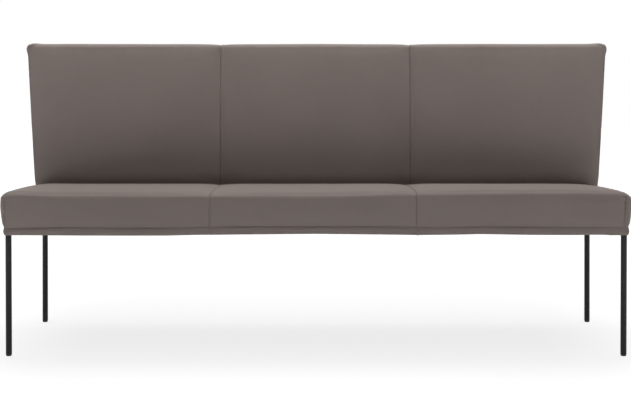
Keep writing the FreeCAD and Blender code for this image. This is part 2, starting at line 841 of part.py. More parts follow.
back_hem = box(hem_inner_x, back_half(base_underside), hem_split + fit, hem_rear,
               skin_bottom, base_underside)
back_end_panel = back_end(0.0).cut(back_end(leather)).fuse(back_hem)
save("back_end_panel_right", [back_end_panel])
save("back_end_panel_left", [mirrored(back_end_panel)])
pad_outline = [(strap_face(base_top) + fit, base_top + fit), (strap_face(gable_top) + fit, gable_top),
               (board_face(gable_top) - fit, gable_top), (board_face(base_top) - fit, base_top + fit)]
pad_thickness = end_padding_thickness - fit
end_pad = slanted_prism(pad_outline, lambda z: back_half(z) - pad_thickness, pad_thickness)
end_pad = end_pad.fuse(back_end(leather + end_fit))
save("back_end_pad_right", [end_pad])
save("back_end_pad_left", [mirrored(end_pad)])

# Dust cover under the seat, cut out round the leg plates

dust_cover = box(-half_base + dust_cover_margin, half_base - dust_cover_margin,
                 base_front_setback + dust_cover_margin, base_back - dust_cover_margin,
                 skin_bottom - dust_cover_thickness, skin_bottom)
save("dust_cover", [dust_cover.cut(plates_grown)])
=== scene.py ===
# %% [markdown]
# # A leather dining bench, dressed
#
# The frame comes in as plain solids: legs, plywood, tubes, springs, foam and simple leather covers.
# This lesson gives every piece its looks. Hard pieces keep their shape and get a finish. Soft pieces
# are made again as leather: sewn panels that swell over foam, with seams, stitches and a crease.
# Sizes in this script are millimetres unless a line says metres.

# %% The frame
import json
import math
import bmesh
import bpy
import mathutils
import numpy as np
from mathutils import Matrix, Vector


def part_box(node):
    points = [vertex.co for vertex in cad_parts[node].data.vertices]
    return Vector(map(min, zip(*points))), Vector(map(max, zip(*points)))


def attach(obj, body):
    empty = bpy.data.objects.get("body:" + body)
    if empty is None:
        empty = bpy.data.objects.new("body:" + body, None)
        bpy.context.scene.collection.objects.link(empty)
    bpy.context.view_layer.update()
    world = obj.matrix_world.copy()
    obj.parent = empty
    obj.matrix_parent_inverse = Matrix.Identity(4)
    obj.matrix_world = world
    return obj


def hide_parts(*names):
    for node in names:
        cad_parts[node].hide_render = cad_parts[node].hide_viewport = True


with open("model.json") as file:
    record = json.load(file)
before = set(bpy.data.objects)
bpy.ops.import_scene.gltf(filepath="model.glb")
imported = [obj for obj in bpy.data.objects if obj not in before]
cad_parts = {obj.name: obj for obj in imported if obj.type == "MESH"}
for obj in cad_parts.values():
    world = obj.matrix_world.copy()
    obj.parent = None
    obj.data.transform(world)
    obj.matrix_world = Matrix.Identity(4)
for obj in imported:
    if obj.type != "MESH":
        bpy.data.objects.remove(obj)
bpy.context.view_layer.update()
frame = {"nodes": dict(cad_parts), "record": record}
nodes = frame["nodes"]

# %% [markdown]
# ## Sizes of the leather
#
# Depth is measured from the foremost point of the seat towards the rear, as an upholsterer would do
# with a tape, and y() turns it into the frame's Y. The sizes start from the covers of the frame. The
# seams and the ends follow the real bench, which isn't quite even.

# %% Sizes
half_depth = 306.0
skin_bottom = 365.4
seat_rear_height = 472.0
top_height = 925.0
seat_seams = (-311.0, 291.0)
corner_seams = (-905.5, 897.0)
crease_depth = 7.0
face_setback = 4.0
rear_radius = 14.0
back_front_at_seat = 445.0
back_gap = 1.5
recline = math.tan(math.radians(10.2))
rear_lean = math.tan(math.radians(6.3))
flare = math.tan(math.radians(4.05))
back_reach = {"left": 915.0, "right": 918.5}
back_seams = (-312.6, 307.8)
flare_start = 313.0
top_front_radius = 14.0
top_radius = 26.0
overall_depth = 612.0
leather = 1.2


def y(depth):
    return depth - half_depth


def back_front(z):
    return back_front_at_seat + (z - seat_rear_height) * recline


def back_rear(z):
    return overall_depth - (top_height - top_radius - z) * rear_lean


print("leather: %.0f mm deep and %.0f mm high" % (overall_depth, top_height))

# %% [markdown]
# ## Small tools
#
# A section is a chain of stretches. Each stretch runs straight or bows out from its chord like an
# arc, so one function draws them all. A smooth step and a sum of sines stand in for the hand that
# pulls leather a little more here and a little less there: the same on every run, with no dice.

# %% Curves and waves
def bowed(start, end, bow, count):
    """Points from start up to, but without, end, on an arc that stands out from its chord."""
    share = np.arange(count) / count
    run, rise = end[0] - start[0], end[1] - start[1]
    length = math.hypot(run, rise)
    if abs(bow) < 1e-6:
        along, out = share * length, np.zeros(count)
    else:
        radius = (length * length / 4 + bow * bow) / (2 * bow)
        half = 2 * math.atan(2 * bow / length)
        angle = -half + 2 * half * share
        along = length / 2 + radius * np.sin(angle)
        out = radius * np.cos(angle) - (radius - bow)
    return np.stack([start[0] + (along * run - out * rise) / length,
                     start[1] + (along * rise + out * run) / length], 1)


def turn(start, end, degrees=90):
    """Bow of an arc that turns by so many degrees between two points."""
    return math.hypot(end[0] - start[0], end[1] - start[1]) / 2 * math.tan(math.radians(degrees / 4))


def chain(stretches):
    """Joins stretches (start, end, bow, count) into one line of points, last end included."""
    parts = [bowed(*stretch) for stretch in stretches]
    return np.concatenate(parts + [np.array([stretches[-1][1]])])


def ramp(low, high, value):
    """0 below low, 1 above high, and smooth between."""
    t = np.clip((np.asarray(value, float) - low) / (high - low), 0, 1)
    return t * t * (3 - 2 * t)


def wave(a, b, pitch, seed):
    """A gentle irregular wave over two coordinates, about -1 to 1."""
    total = 0
    for n in range(5):
        heading = seed * 1.7 + n * 2.4
        scale = 2 * math.pi / (pitch * (0.7 + 0.23 * n))
        place = a * math.cos(heading) + b * math.sin(heading)
        total = total + np.sin(scale * place + 3.1 * n + seed)
    return total / 5


def resample(grid, old, new):
    """The rows of a grid, known at the values old, at the values new, on smooth cubics."""
    slope = np.gradient(grid, old, axis=0)
    index = np.clip(np.searchsorted(old, new) - 1, 0, len(old) - 2)
    width = (old[index + 1] - old[index])[:, None, None]
    t = ((new - old[index]) / (old[index + 1] - old[index]))[:, None, None]
    return ((2 * t ** 3 - 3 * t ** 2 + 1) * grid[index] + (t ** 3 - 2 * t ** 2 + t) * width * slope[index]
            + (3 * t ** 2 - 2 * t ** 3) * grid[index + 1] + (t ** 3 - t ** 2) * width * slope[index + 1])


def normals(grid):
    """Outward directions of a grid whose rows run along the section and columns along the bench."""
    across = np.gradient(grid, axis=1)
    along = np.gradient(grid, axis=0)
    out = np.cross(across, along)
    return out / np.maximum(np.linalg.norm(out, axis=2, keepdims=True), 1e-9)


# %% [markdown]
# ## Leather is a sheet
#
# Each panel is a grid of points. The mesh gets that grid as its outer face, a second grid one
# leather thickness inside it and a rim between the two, so it is a closed sheet as real leather is.

# %% Grids to meshes
def new_object(name, verts, faces, smooth=None):
    mesh = bpy.data.meshes.new(name)
    mesh.from_pydata(verts, [], faces)
    mesh.polygons.foreach_set("use_smooth", [True] * len(faces) if smooth is None else smooth)
    mesh.update()
    obj = bpy.data.objects.new(name, mesh)
    bpy.context.scene.collection.objects.link(obj)
    return obj


def grid_faces(rows, columns):
    index = np.arange(rows * columns).reshape(rows, columns)
    return np.stack([index[:-1, :-1], index[:-1, 1:], index[1:, 1:], index[1:, :-1]], 2).reshape(-1, 4)


cells_across = {}


def sheet(name, grid, thickness=leather, keep=None):
    """A closed sheet whose outer face is the grid, in millimetres, or those of its cells to keep."""
    rows, columns = grid.shape[:2]
    cells_across[name] = columns - 1
    inner = grid - normals(grid) * thickness
    verts = np.concatenate([grid.reshape(-1, 3), inner.reshape(-1, 3)]) / 1000
    count = rows * columns
    outer = grid_faces(rows, columns)
    if keep is not None:
        outer = outer[keep.reshape(-1)]
    sides = np.concatenate([outer[:, [n, (n + 1) % 4]] for n in range(4)])
    known = {(a, b) for a, b in sides.tolist()}
    rim = [(b, a, a + count, b + count) for a, b in sides.tolist() if (b, a) not in known]
    faces = outer.tolist() + (outer[:, ::-1] + count).tolist() + rim
    used = np.unique(np.array(faces))
    place = np.zeros(2 * count, int)
    place[used] = np.arange(len(used))
    smooth = [True] * (len(faces) - len(rim)) + [False] * len(rim)
    return new_object(name, verts[used].tolist(), place[np.array(faces)].tolist(), smooth)


# %% [markdown]
# ## Letting the panels swell
#
# A cushion gets its form from foam that pushes against leather held at the seams. Blender's cloth
# does the same: the seams, the crease and the hems are pinned, a pressure pushes the rest outwards,
# and the stiff leather decides how it bulges. Only the outward part of the result is kept, since the
# foam stops the leather from sinking in, and it is capped so that the panel keeps its tailored size.

# %% Cloth
air_pressure = 4.0
seat_cap, back_cap = 3.5, 3.0
settle_frames = 20


def swell(grid, pinned, cap):
    """The grid after a short cloth simulation, no point more than about cap from where it was."""
    rows, columns = grid.shape[:2]
    points = (grid.reshape(-1, 3) / 1000).tolist()
    obj = new_object("swelling", points, grid_faces(rows, columns).tolist())
    held = obj.vertex_groups.new(name="held")
    held.add(np.flatnonzero(pinned.reshape(-1)).tolist(), 1.0, "REPLACE")
    cloth = obj.modifiers.new("cloth", "CLOTH")
    hide = cloth.settings
    hide.quality = 6
    hide.mass = 0.4
    hide.tension_stiffness = 30
    hide.compression_stiffness = 30
    hide.shear_stiffness = 15
    hide.bending_stiffness = 4
    hide.use_pressure = True
    hide.uniform_pressure_force = air_pressure
    hide.vertex_group_mass = "held"
    hide.effector_weights.gravity = 0
    cloth.collision_settings.use_collision = False
    cloth.point_cache.frame_end = settle_frames
    for number in range(settle_frames):
        bpy.context.scene.frame_set(number + 1)
    shown = obj.evaluated_get(bpy.context.evaluated_depsgraph_get()).to_mesh()
    points = np.empty(rows * columns * 3)
    shown.vertices.foreach_get("co", points)
    bpy.data.objects.remove(obj)
    bpy.context.scene.frame_set(1)
    move = points.reshape(rows, columns, 3) * 1000 - grid
    out = normals(grid)
    rise = np.maximum((move * out).sum(2, keepdims=True), 0.0)
    print("swelling: %.1f mm at most" % rise.max())
    return grid + out * cap * np.tanh(rise / cap)


# %% [markdown]
# ## A seam's cross-section
#
# At every seam two panels dive into a narrow groove. The allowance of both is folded to one side and
# stitched down, so on that side the leather stands up in a flat band, with a stitch line along it. The
# inner seams are pulled almost level. Those at the ends are deeper.

# %% Seams
stitch_offset = 8.0
inner_groove, inner_width = 1.2, 0.9
end_groove, end_width = 3.2, 1.5
end_sink = 1.6
band_height, band_rise, band_fall = 1.1, (0.4, 2.6), (6.8, 10.5)
stitch_dent, dent_width = 0.8, 1.0
allowance, tuck_drop = 8.0, 1.5
pucker_height, pucker_reach, pucker_pitch = 0.35, 16.0, 23.0
coarse_step = 9.0


def seam_profile(distance, banded, at_end):
    """How far the leather stands out, at a distance from the seam."""
    depth, width = (end_groove, end_width) if at_end else (inner_groove, inner_width)
    height = -depth * np.exp(-(distance / width) ** 2)
    if banded:
        height = height + band_height * ramp(*band_rise, distance) * (1 - ramp(*band_fall, distance))
        height = height - stitch_dent * np.exp(-((distance - stitch_offset) / dent_width) ** 2)
    return height


def fine_columns(width):
    """Distances across a panel, close together near both seams."""
    near = [0.0, 0.5, 1.0, 1.6, 2.3, 3.2, 4.4, 5.6, 6.6, 7.3, 8.0, 8.7, 9.4, 10.4]
    near += [12.0, 14.5, 18.0, 23.0, 30.0]
    count = int(round((width - 2 * near[-1]) / coarse_step))
    middle = np.linspace(near[-1], width - near[-1], count + 1)[1:-1]
    return np.concatenate([near, middle, width - np.array(near[::-1])])


def turned_in(grid):
    """The grid with a strip of seam allowance, folded inwards, on both long edges."""
    inwards = -normals(grid) * allowance
    clear = 15  # columns to where the leather is flat again
    return np.concatenate([grid[:, :1] + inwards[:, clear:clear + 1], grid,
                           grid[:, -1:] + inwards[:, -clear - 1:-clear]], 1)


def puckers(distance, along, seed):
    """Short folds that run out from a seam where the thread pulls the leather together."""
    return pucker_height * np.exp(-distance / pucker_reach) * wave(along, along * 0, pucker_pitch, seed)


# %% [markdown]
# ## The seat's section
#
# The leather starts in a hem under the plywood, turns round its edge to make a lip, folds into the
# crease above it, bulges up the front, turns over the front edge, crosses the seat and goes down
# between seat and backrest. The crease isn't even: it sits lower and deeper at the left end, fades
# towards the right end, and nearly closes at the two seams. The lower edge waves a little too.

# %% Seat section
hem_end, hem_turn, seat_tail = 83.0, 36.0, 410.0
edge_turn = ((0.0, -15.0), (8.0, -5.0), (44.0, 0.0))  # back from the face, up from the top
left_pull, right_pull, pull_aside = 60.0, 110.0, 45.0


def crease_height(x):
    """Height of the fold above the lip."""
    return np.interp(x, (-905, -850, -770, -690, -600, -380, -330, -190, 470, 700, 905),
                     (383, 384.5, 386, 386, 384.5, 385.5, 388, 389, 389, 388, 388))


def crease_strength(x):
    """1 where the crease is deep, less where a seam pulls it shut."""
    left = np.exp(-((x - seat_seams[0]) / left_pull) ** 2)
    right = np.exp(-((x - seat_seams[1] - pull_aside) / right_pull) ** 2)
    ends = ramp(850, 890, np.abs(x))
    faint = ramp(560, 700, x)
    return 1 - 0.75 * np.maximum(left, right) - 0.35 * ends - 0.6 * faint


def lower_edge(x):
    """Height of the lowest line of the lip."""
    return skin_bottom + np.interp(x, (-905, -690, -434, -333, 0, 301, 474, 620, 765, 830, 860, 905),
                                   (-2.8, -4.2, -4.2, -1.8, 0.8, -2.4, 0.2, -2.2, -2.2, -1.4, -2.8, -2.8))


def edge_height(x):
    """Height of the front edge, which stands a little prouder towards the right."""
    return np.interp(x, (-905, -780, 60, 220, 600, 780, 905), (487.5, 483, 483, 487.5, 491, 491, 488))


def rear_height(x):
    """Height of the seat where it meets the back, which settles at the right end."""
    return seat_rear_height + np.interp(x, (-905, -780, 700, 905), (1, 0, 0, -1.5))


def seat_section(x, dip):
    """Points of the leather's section at one place along the seat, as (depth, height)."""
    low = float(lower_edge(x))
    fold = float(crease_height(x))
    strength = float(crease_strength(x))
    inside = crease_depth * (0.55 + 0.45 * strength)
    front = face_setback + dip
    top = float(edge_height(x)) - dip
    corner = [(front + back, top + up) for back, up in edge_turn]
    tail = back_gap + dip
    rear_top = seat_rear_height - rear_radius
    rear = [(back_front_at_seat - tail - rear_radius, float(rear_height(x)) - dip),
            (back_front(rear_top) - tail, rear_top)]
    hem = (hem_turn, skin_bottom + 0.2)
    under = [(inside + 3.0, low), (inside - 2.0, low + 5.0)]
    notch = [(inside - 0.5, fold - 2.2), (inside + 1.5 * strength, fold), (inside - 1.2, fold + 2.2)]
    return chain([
        ((hem_end, skin_bottom + 0.4), hem, 0, 3), (hem, under[0], 0, 3),
        (under[0], under[1], turn(*under), 4),
        (under[1], notch[0], 1.6, 6), (notch[0], notch[1], 0, 2), (notch[1], notch[2], 0, 2),
        (notch[2], corner[0], 2.0, 14), (corner[0], corner[1], turn(*corner[:2], 70), 9),
        (corner[1], corner[2], turn(*corner[1:], 16), 8), (corner[2], rear[0], 2.5, 34),
        (rear[0], rear[1], turn(*rear), 5), (rear[1], (back_front(seat_tail) - tail, seat_tail), 0, 5)])


seat_rows = {"under": 6, "lip": 10, "crease": 18, "face": 20, "front_edge": 34, "rear_edge": 85, "tail": 90}
print("seat section:", len(seat_section(0.0, 0.0)), "points")


# %% [markdown]
# ## Sewing the seat's three panels
#
# The coarse grid is about 9 mm, which is plenty for the swelling. It is then resampled to a fine grid
# whose columns crowd together at the seams, and the seam's cross-section and the small folds are
# added there.

# %% Seat panels
seam_dip, inner_reach, corner_reach = 2.0, 40.0, 50.0
seat_row_step, back_row_step = 6.0, 8.0


def seat_dip(x):
    """How far the seams draw the panel in."""
    near = [abs(x - seam) / inner_reach for seam in seat_seams]
    near += [abs(x - seam) / corner_reach for seam in corner_seams]
    return seam_dip * max(0.0, 1 - min(near)) ** 2


def arc_length(grid):
    """Mean distance along the section, row by row."""
    step = np.linalg.norm(np.diff(grid, axis=0), axis=2).mean(1)
    return np.concatenate([[0.0], np.cumsum(step)])


def fine_rows(length, step, low, high):
    """Distances along a section, halved from low to high, where the leather bends sharply."""
    dense = []
    for here, there in zip(length, length[1:]):
        pieces = max(1, int(round((there - here) / step)))
        if low <= here <= high:
            pieces = max(pieces, 2)
        dense += list(here + (there - here) * np.arange(pieces) / pieces)
    return np.array(dense + [length[-1]])


def refined(grid, width, step, first, last):
    """A coarse grid on fine rows and columns, with the distances across and along it."""
    length = arc_length(grid)
    rows = fine_rows(length, step, length[first], length[last])
    across = fine_columns(width)
    coarse = np.linspace(0, width, grid.shape[1])
    grid = resample(grid, length, rows)
    grid = resample(grid.transpose(1, 0, 2), coarse, across).transpose(1, 0, 2)
    return grid, across, rows, length


def seam_lift(grid, across, along, ends, swing, pitch, seed):
    """How far seams, puckers and a slow wave lift a panel. Only an inner seam on its left has a band."""
    from_left, from_right = across[None, :], (across[-1] - across)[None, :]
    lift = seam_profile(from_left, not ends[0], ends[0]) + seam_profile(from_right, False, ends[1])
    lift = lift + puckers(from_left, along, seed) + puckers(from_right, along, seed + 4)
    slow = swing * wave(grid[:, :, 0], along, pitch, seed + 2)
    return lift + slow * ramp(0, 30, np.minimum(from_left, from_right))


def seat_panel(name, x0, x1, seed):
    columns = np.linspace(x0, x1, int(round((x1 - x0) / coarse_step)) + 1)
    grid = np.zeros((len(seat_section(0.0, 0.0)), len(columns), 3))
    for number, x in enumerate(columns):
        section = seat_section(x, seat_dip(x))
        grid[:, number] = np.stack([np.full(len(section), x), y(section[:, 0]), section[:, 1]], 1)
    pinned = np.zeros(grid.shape[:2], bool)
    pinned[:, [0, -1]] = True
    pinned[:seat_rows["lip"]] = True
    pinned[seat_rows["crease"] - 1:seat_rows["crease"] + 2] = True
    pinned[seat_rows["tail"]:] = True
    grid = swell(grid, pinned, seat_cap)
    grid, across, rows, length = refined(
        grid, x1 - x0, seat_row_step, seat_rows["lip"], seat_rows["face"] + 2)
    along = rows[:, None]
    ends = [x in corner_seams for x in (x0, x1)]
    lift = seam_lift(grid, across, along, ends, 0.45, 210.0, seed)
    above = along - length[seat_rows["crease"]]
    lift = lift + 0.5 * np.exp(-np.abs(above) / 14.0) * wave(grid[:, :, 0], above * 0.6, 47.0, seed + 9)
    shown = ramp(length[seat_rows["under"] - 2], length[seat_rows["lip"] - 2], along)
    grid = grid + normals(grid) * (lift * shown)[:, :, None]
    return sheet(name, turned_in(grid)), grid, across, rows, length


leather_pieces = []


def sewn_on(piece, cover):
    """Hands over a leather piece, which rides on the bench and stands for a cover of the frame."""
    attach(piece, "root")
    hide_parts(cover)
    leather_pieces.append(piece)
    print(piece.name, len(piece.data.polygons), "faces")


seat_edges = (corner_seams[0],) + seat_seams + (corner_seams[1],)
seat_grids = {}
for side, x0, x1 in zip(("left", "centre", "right"), seat_edges, seat_edges[1:]):
    piece, *seat_grids[side] = seat_panel("seat_leather_" + side, x0, x1, 1.0 + x0 / 500)
    sewn_on(piece, "seat_cover_" + side)

# %% [markdown]
# ## The seat's ends
#
# An end panel is a patch between four curves: the crease below, the front, the top and the rear of the
# section. A Coons patch fills such a frame with an even grid. The patch then swells outwards, fully in
# its upper half and less towards the crease, and rounds off wherever it comes near the corner seam.
# Rows for the lip and the hem continue below it.

# %% Seat ends
seat_half, end_foot, rear_fold = 905.0, 386.0, 3.5
corner_round, corner_gain, lip_round = 9.0, 0.6, 12.0


def coons(bottom, top, front, rear):
    """A grid between four lines of points that share their corners."""
    a = np.linspace(0, 1, len(bottom))[None, :, None]
    b = np.linspace(0, 1, len(front))[:, None, None]
    corners = (1 - b) * ((1 - a) * bottom[0] + a * bottom[-1]) + b * ((1 - a) * top[0] + a * top[-1])
    return (1 - b) * bottom[None] + b * top[None] + (1 - a) * front[:, None] + a * rear[:, None] - corners


def spread(line, count, crowd=0.0):
    """A line of points resampled to count points, crowded towards both ends if asked."""
    length = np.concatenate([[0.0], np.cumsum(np.linalg.norm(np.diff(line, axis=0), axis=1))])
    t = np.linspace(0, 1, count)
    t = (1 - crowd) * t + crowd * (1 - np.cos(math.pi * t)) / 2
    return np.stack([np.interp(t * length[-1], length, line[:, axis]) for axis in (0, 1)], 1)


def distance_to(line, points):
    """Distance from each point of a grid to the nearest point of a line."""
    flat = points.reshape(-1, 2)
    best = np.full(len(flat), 1e9)
    for spot in spread(line, 240):
        best = np.minimum(best, np.hypot(flat[:, 0] - spot[0], flat[:, 1] - spot[1]))
    return best.reshape(points.shape[:2])


def round_off(distance, reach):
    """0 on the seam, 1 beyond the reach, like a quarter of a circle."""
    return np.sqrt(1 - (1 - np.clip(distance / reach, 0, 1)) ** 2)


def tucked(grid, sign, rear=-tuck_drop):
    """An end panel with an allowance that runs on under the panels next to it."""
    wide = np.pad(grid, ((0, 1), (1, 1), (0, 0)), mode="edge")
    wide[:, 0] += (-sign * allowance, tuck_drop, 0)
    wide[:, -1] += (-sign * allowance, rear, 0)
    wide[-1, 1:-1] += (-sign * allowance, 0, -tuck_drop)
    wide[-1, [0, -1]] += (0, 0, -tuck_drop)
    return wide if sign > 0 else wide[:, ::-1]


def seat_outer(z):
    """How far out the end of the seat stands, at a height."""
    return np.interp(z, (365, 371, 377, 383, 388, 394, 406, 418, 435, 447, 459, 480),
                     (911.5, 913, 913, 911.5, 911, 914, 916, 917.5, 919, 920, 919.5, 918))


def seat_end(side):
    sign = -1 if side == "left" else 1
    seam = corner_seams[0 if side == "left" else 1]
    section = seat_section(seam, seat_dip(seam) + end_sink)
    start, top, tail = seat_rows["crease"], seat_rows["front_edge"] + 4, seat_rows["rear_edge"] + 2
    foot = np.array([[back_front(end_foot) - back_gap - 1, section[start, 1]]])
    rear_line = np.concatenate([section[tail:seat_rows["tail"] + 1], foot])
    across, tall, crowd = 64, 30, 0.75
    patch = coons(spread(np.stack([section[start], foot[0]]), across, crowd),
                  spread(section[top:tail + 1], across, crowd),
                  spread(section[start:top + 1], tall, 0.6), spread(rear_line[::-1], tall, 0.6))
    outline = np.concatenate([section[start:tail + 1], rear_line])
    away = distance_to(outline, patch)
    reach = corner_round + corner_gain * (seat_half - abs(seam))
    bulge = (seat_outer(patch[:, :, 1]) - abs(seam)) * round_off(away + 0.01, reach)
    bulge = bulge + 0.7 * wave(patch[:, :, 0], patch[:, :, 1], 120.0, 5.0 + sign) * ramp(8, 40, away)
    dome = np.stack([sign * (abs(seam) + bulge), y(patch[:, :, 0]), patch[:, :, 1]], 2)
    lips = []
    share = np.linspace(0, 1, across)
    share = crowd * (1 - np.cos(math.pi * share)) / 2 + (1 - crowd) * share
    for depth, z in section[seat_rows["under"]:start]:
        run = depth + share * (foot[0, 0] - depth)
        out = abs(seam) + (seat_outer(z) - abs(seam)) * round_off(run - depth + 0.01, lip_round)
        lips.append(np.stack([sign * out, y(run), np.full(across, z)], 1))
    hems = []
    for x in (840.0, 862.0, 884.0, 900.0):
        begin = 18.0 + (seat_half - x) * 1.1
        run = begin + share * (foot[0, 0] - begin)
        hems.append(np.stack([np.full(across, sign * x), y(run), np.full(across, section[0, 1] + 0.5)], 1))
    grid = np.concatenate([np.array(hems), np.array(lips), dome])
    return sheet("seat_end_leather_" + side, tucked(grid, sign, rear_fold))


for side in ("left", "right"):
    sewn_on(seat_end(side), "seat_end_panel_" + side)

# %% [markdown]
# ## The backrest
#
# Its section starts behind the seat, leans back up the front, turns over the top and comes down the
# rear to a hem under the base. Each panel is one piece of leather all the way round. At the two ends
# the leather rounds off towards the end seam. A short dart cuts across each top corner, which leaves the
# small ears that the real bench has.

# %% Backrest panels
shoulder = top_height - top_radius
ear_out, ear_height, ear_size = 4.5, 909.0, 13.0
ear_up, ear_aside, ear_width = 3.5, 10.0, 22.0
corner_cut = 6.0
dart_reach, dart_depth, dart_width = 26.0, 4.0, 2.2
end_dip, end_reach, flare_reach = 9.0, 55.0, 90.0
crown_draw, crown_reach = 2.2, 40.0
undercut, knee_height, back_tail = 8.0, 510.0, 392.0


def back_section(dip, crown_dip):
    """The backrest's section, drawn in by dip on its front and rear and by crown_dip on its top."""
    low = skin_bottom
    foot = (back_front_at_seat + dip + undercut, seat_rear_height - 4)
    knee = (back_front(knee_height) + dip, knee_height)
    crown = top_height - 2 - crown_dip
    brow = top_height - top_front_radius
    front = [(back_front(brow) + dip, brow), (back_front(top_height) + top_front_radius, crown)]
    rear = [(overall_depth - top_radius, crown), (overall_depth - dip, shoulder)]
    hem = [(back_rear(low + 5), low + 5), (back_rear(low + 5) - 5, low)]
    return chain([
        ((back_front(back_tail) + min(dip, 2.5), back_tail), foot, 0, 8),
        (foot, knee, turn(foot, knee, 24), 4),
        (knee, front[0], 2.0, 40), (front[0], front[1], turn(*front), 9),
        (front[1], rear[0], 2.0, 7), (rear[0], rear[1], turn(*rear), 9), (rear[1], hem[0], 1.0, 48),
        (hem[0], hem[1], turn(*hem), 4), (hem[1], (back_rear(low) - 72, low + 0.4), 0, 6)])


back_rows = {"front_corner": 52, "top": 61, "rear_corner": 68, "rear": 77, "hem": 125}


def top_share(count):
    """0 on the front and the rear, 1 on the top, with a smooth change round both corners."""
    row = np.arange(count)
    return ramp(back_rows["front_corner"] + 2, back_rows["top"], row) * (
        1 - ramp(back_rows["rear_corner"], back_rows["rear"] - 2, row))


def ear(z):
    """How far the ear stands out sideways, at a height."""
    return ear_out * np.exp(-((z - ear_height) / ear_size) ** 2)


def ear_lift(distance):
    """How much higher the top is at a distance from the end seam."""
    return ear_up * math.exp(-((distance - ear_aside) / ear_width) ** 2)


def back_panel(name, x0, x1, seed):
    columns = np.linspace(x0, x1, int(round((x1 - x0) / coarse_step)) + 1)
    count = len(back_section(0.0, 0.0))
    on_top = top_share(count)
    grid = np.zeros((count, len(columns), 3))
    ends = [abs(x) > flare_start for x in (x0, x1)]
    reach = max(abs(x0), abs(x1))
    for number, x in enumerate(columns):
        near = [x - x0, x1 - x]
        dip = crown_dip = out = lift = 0.0
        for at_end, distance in zip(ends, near):
            if at_end:
                dip = max(dip, end_dip * max(0.0, 1 - distance / end_reach) ** 2)
                out = max(0.0, 1 - distance / flare_reach) ** 2
                lift = ear_lift(distance)
            else:
                crown_dip = max(crown_dip, crown_draw * max(0.0, 1 - distance / crown_reach) ** 2)
        dip = max(dip, crown_dip)
        section = back_section(dip, crown_dip)
        z = section[:, 1]
        lean = flare * max(0.0, abs(x) - flare_start) / (reach - flare_start)
        shift = lean * (z - seat_rear_height) + out * (ear(z) - corner_cut * on_top)
        places = x + math.copysign(1, x) * shift
        grid[:, number] = np.stack([places, y(section[:, 0]), z + lift * on_top], 1)
    pinned = np.zeros(grid.shape[:2], bool)
    pinned[:, [0, -1]] = True
    pinned[:2] = True
    pinned[back_rows["hem"]:] = True
    grid = swell(grid, pinned, back_cap)
    low, high = back_rows["front_corner"], back_rows["rear"]
    grid, across, rows, length = refined(grid, x1 - x0, back_row_step, low, high)
    along = rows[:, None]
    lift = seam_lift(grid, across, along, ends, 0.5, 260.0, seed)
    rise = length[back_rows["top"]] - length[low]
    for at_end, distance in zip(ends, (across, across[-1] - across)):
        if at_end:
            aside = along - length[low] - rise * distance / dart_reach
            dart = dart_depth * np.exp(-(aside / math.hypot(1, rise / dart_reach) / dart_width) ** 2)
            lift = lift - dart * (1 - ramp(dart_reach - 8, dart_reach, distance))
    grid = grid + normals(grid) * lift[:, :, None]
    return sheet(name, turned_in(grid)), grid, across, rows, length


back_edges = (-back_reach["left"],) + back_seams + (back_reach["right"],)
back_grids = {}
for side, x0, x1 in zip(("left", "centre", "right"), back_edges, back_edges[1:]):
    piece, *back_grids[side] = back_panel("back_leather_" + side, x0, x1, 2.0 + x0 / 400)
    sewn_on(piece, "back_cover_" + side)

# %% [markdown]
# ## The backrest's ends
#
# The same kind of patch closes each end: a tall wedge with a slight crown. It meets the panels at the
# end seam, and at the top it rolls over the cut corner.

# %% Backrest ends
back_half, end_crown, end_round = 906.0, 5.0, 14.0
cut_low, cut_high, cut_round = 897.0, 917.0, 18.0


def back_end(side):
    sign = -1 if side == "left" else 1
    section = back_section(end_dip + end_sink, end_sink - ear_lift(0.0))
    front_mid, rear_mid = back_rows["front_corner"] + 4, back_rows["rear_corner"] + 5
    low = skin_bottom + 4
    front_foot = section[0, 0] - (back_tail - low) * recline
    front_line = np.concatenate([[[front_foot, low]], section[:front_mid + 1]])
    rear_line = section[rear_mid:back_rows["hem"] + 1][::-1]
    rear_line = np.concatenate([[[rear_line[0, 0], low]], rear_line[1:]])
    across, tall, crowd = 40, 90, 0.8
    patch = coons(spread(np.stack([front_line[0], rear_line[0]]), across, crowd),
                  spread(section[front_mid:rear_mid + 1], across, crowd),
                  spread(front_line, tall, 0.35), spread(rear_line, tall, 0.35))
    outline = np.concatenate([front_line, section[front_mid:rear_mid + 1], rear_line[::-1]])
    away = distance_to(outline, patch) + 0.01
    z = patch[:, :, 1]
    cut = corner_cut * ramp(cut_low, cut_high, z) * (1 - round_off(away, cut_round))
    bulge = end_crown * round_off(away, end_round) - cut
    bulge = bulge + 0.6 * wave(patch[:, :, 0], z, 150.0, 8.0 + sign) * ramp(5, 30, away)
    out = back_reach[side] + flare * (z - seat_rear_height) + ear(z) + bulge
    wall = np.stack([sign * out, y(patch[:, :, 0]), z], 2)
    hems = []
    for x, rise in ((842.0, 0.6), (870.0, 0.3), (898.0, 0.0), (back_half, 0.8)):
        begin = front_foot + 2 + (back_half - x) * 0.1
        finish = rear_line[0, 0] - 2 - (back_half - x) * 1.15
        run = spread(np.array([[begin, 0.0], [finish, 0.0]]), across, crowd)[:, 0]
        hems.append(np.stack([np.full(across, sign * x), y(run), np.full(across, skin_bottom + rise)], 1))
    grid = np.concatenate([np.array(hems), wall])
    return sheet("back_end_leather_" + side, tucked(grid, sign))


for side in ("left", "right"):
    sewn_on(back_end(side), "back_end_panel_" + side)

# %% [markdown]
# ## Stitches
#
# Each stitch is a short thick thread with rounded ends that dives into the leather at both ends. The
# stitches follow the line on the folded band, one every five millimetres.

# %% Stitches
stitch_pitch, stitch_length, thread = 5.0, 3.9, 0.55


